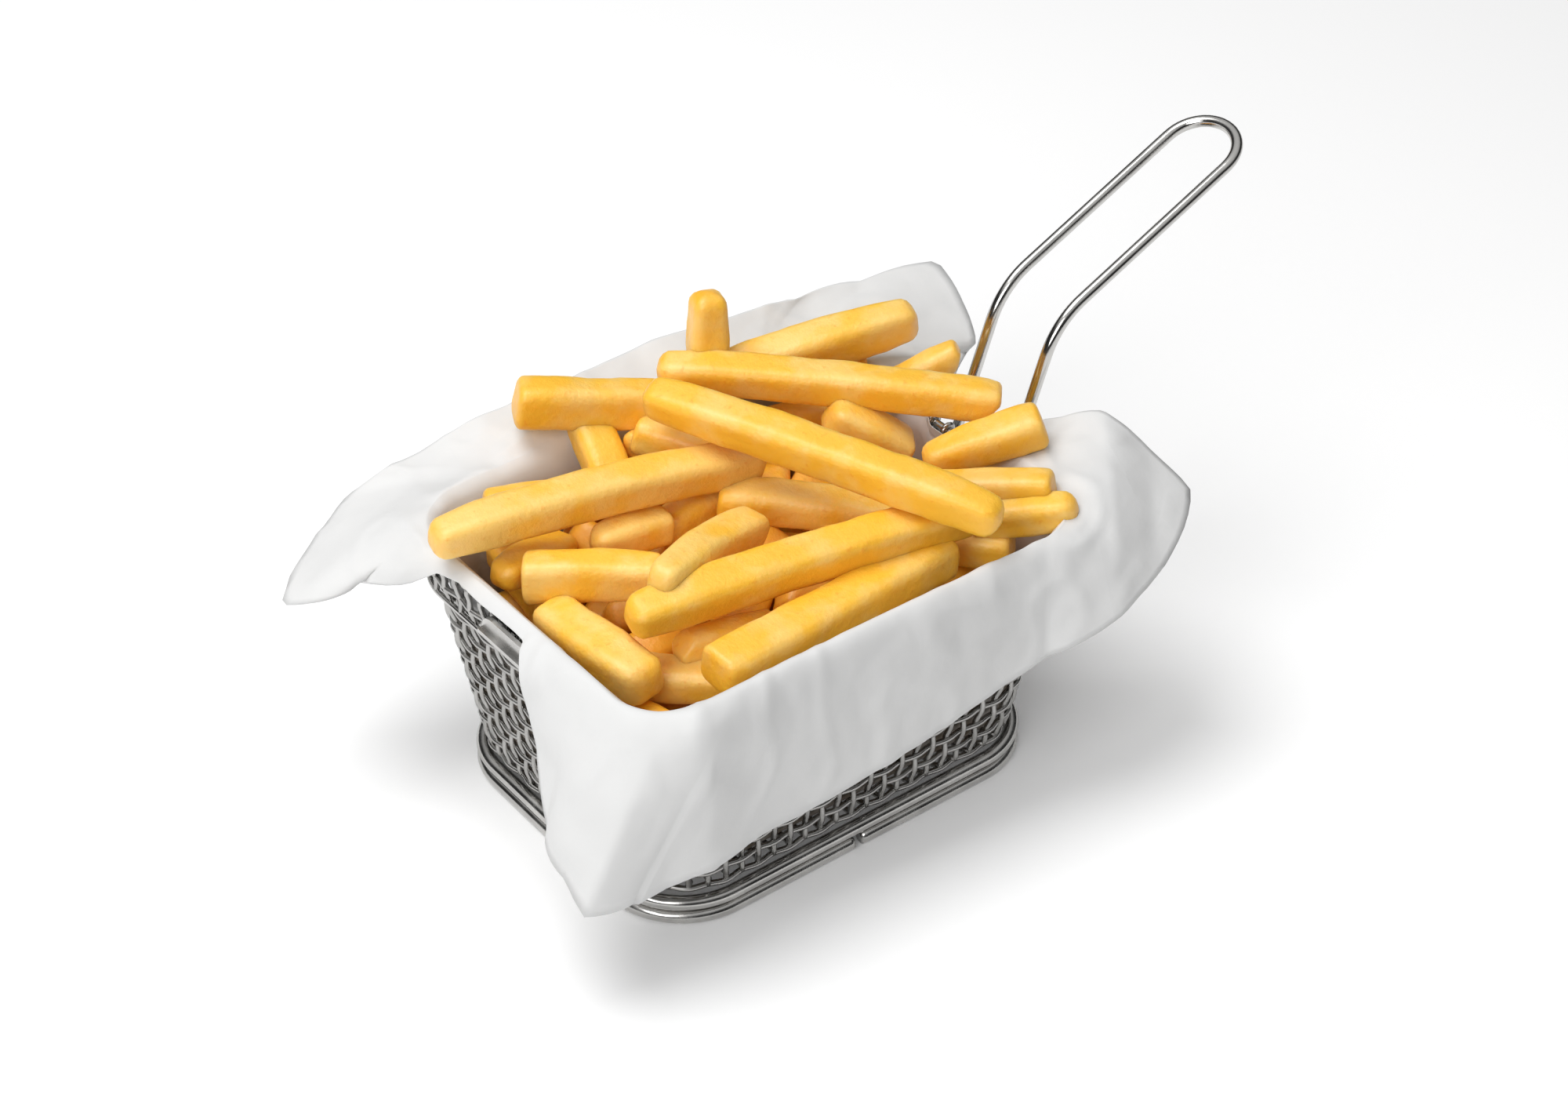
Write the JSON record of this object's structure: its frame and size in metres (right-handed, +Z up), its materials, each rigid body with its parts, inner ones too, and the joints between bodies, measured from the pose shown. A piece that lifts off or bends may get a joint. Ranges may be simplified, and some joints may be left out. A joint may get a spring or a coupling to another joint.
{
  "type": "french fries portion",
  "caption": "French fries heaped in a small wire serving basket with a U-shaped wire handle and a white paper liner.",
  "frame": {"origin": "under the middle of the whole outline, on the surface that the base wire stands on", "axes": "+X towards the handle, +Z up, the side with the long front flap of paper and the joint of the lower base wire at -Y"},
  "size_m": [0.2278, 0.1272, 0.117],
  "materials": {
    "base_wire": "polished stainless wire",
    "woven_mesh": "plain woven stainless wire, bright",
    "rim_wire": "polished stainless wire",
    "bar_sheet": "bent stainless sheet, satin",
    "handle_wire": "bright polished wire",
    "paper": "thin white greaseproof paper, matt, softly wrinkled",
    "fried_potato": "golden fried potato, slightly oily, darker along edges and cut ends"
  },
  "bodies": {
    "root": {"base_wire_lower": "base_wire", "base_wire_upper": "base_wire", "basket_mesh": "woven_mesh", "hem_wire": "rim_wire", "rim_wire": "rim_wire", "hanging_bar": "bar_sheet", "handle": "handle_wire", "paper_liner": "paper", "fries_heap": "fried_potato"}
  },
  "joints": []
}
